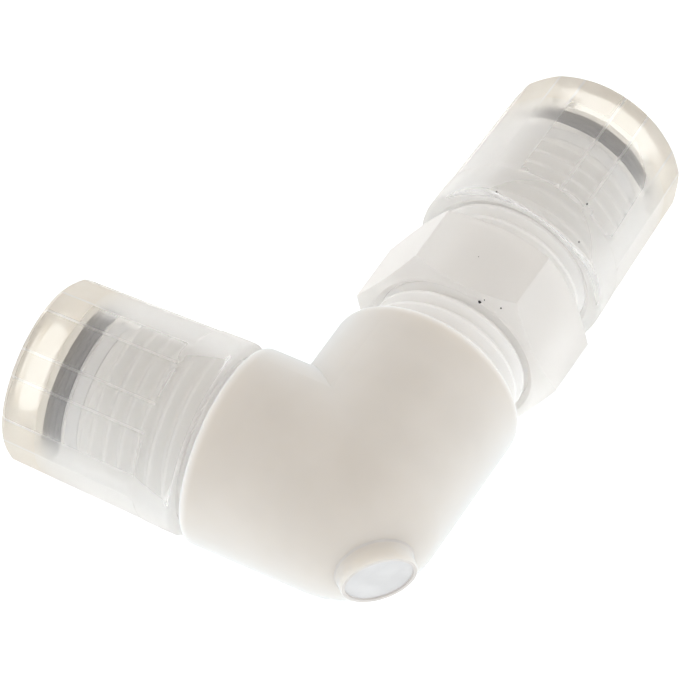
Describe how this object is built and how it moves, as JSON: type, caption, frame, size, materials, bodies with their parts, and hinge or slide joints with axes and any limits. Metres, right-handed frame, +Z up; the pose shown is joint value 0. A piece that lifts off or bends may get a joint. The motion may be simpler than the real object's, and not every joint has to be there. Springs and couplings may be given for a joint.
{
  "type": "elbow bulkhead compression fitting",
  "caption": "Moulded plastic elbow for tube, with a threaded bulkhead arm clamped by a hexagonal panel nut and a clear faceted union nut on each end.",
  "frame": {"origin": "on the long arm's axis, in the plane of the shoulder that seats on the panel", "axes": "+X along the long arm, out of its mouth; +Y the way the short arm points; +Z up, square to both arms, as the fitting lies flat"},
  "size_m": [0.0772, 0.0537, 0.0248],
  "materials": {
    "milky_plastic": "natural plastic, milky and translucent, satin",
    "clear_plastic": "natural plastic, clear, glossy",
    "ring_plastic": "dark hard plastic, satin",
    "seal_plastic": "natural plastic, satin"
  },
  "bodies": {
    "fitting": {"elbow_body": "milky_plastic", "seal_cone_short_arm": "seal_plastic", "seal_cone_long_arm": "seal_plastic"},
    "panel_nut": {"panel_nut": "clear_plastic"},
    "short_grip": {"grip_ring_short_arm": "ring_plastic"},
    "short_nut": {"union_nut_short_arm": "clear_plastic"},
    "long_grip": {"grip_ring_long_arm": "ring_plastic"},
    "long_nut": {"union_nut_long_arm": "clear_plastic"}
  },
  "joints": [
    {"name": "short_nut_advance", "type": "slide", "parent": "fitting", "child": "short_grip", "axis": [0, 1, 0], "range_m": [0, 0.01]},
    {"name": "short_nut_turn", "type": "hinge", "parent": "short_grip", "child": "short_nut", "pos_m": [-0.0198, 0, 0], "axis": [0, 1, 0], "range_deg": [0, 1802]},
    {"name": "long_nut_advance", "type": "slide", "parent": "fitting", "child": "long_grip", "axis": [1, 0, 0], "range_m": [0, 0.01]},
    {"name": "long_nut_turn", "type": "hinge", "parent": "long_grip", "child": "long_nut", "pos_m": [-0.0198, 0, 0], "axis": [1, 0, 0], "range_deg": [0, 1802]},
    {"name": "panel_nut_slide", "type": "slide", "parent": "fitting", "child": "panel_nut", "axis": [1, 0, 0], "range_m": [-0.006, 0.004]}
  ],
  "couplings": [
    {"joint": "short_nut_turn", "follows": "short_nut_advance", "rad_per_m": 3141.6},
    {"joint": "long_nut_turn", "follows": "long_nut_advance", "rad_per_m": 3141.6}
  ]
}
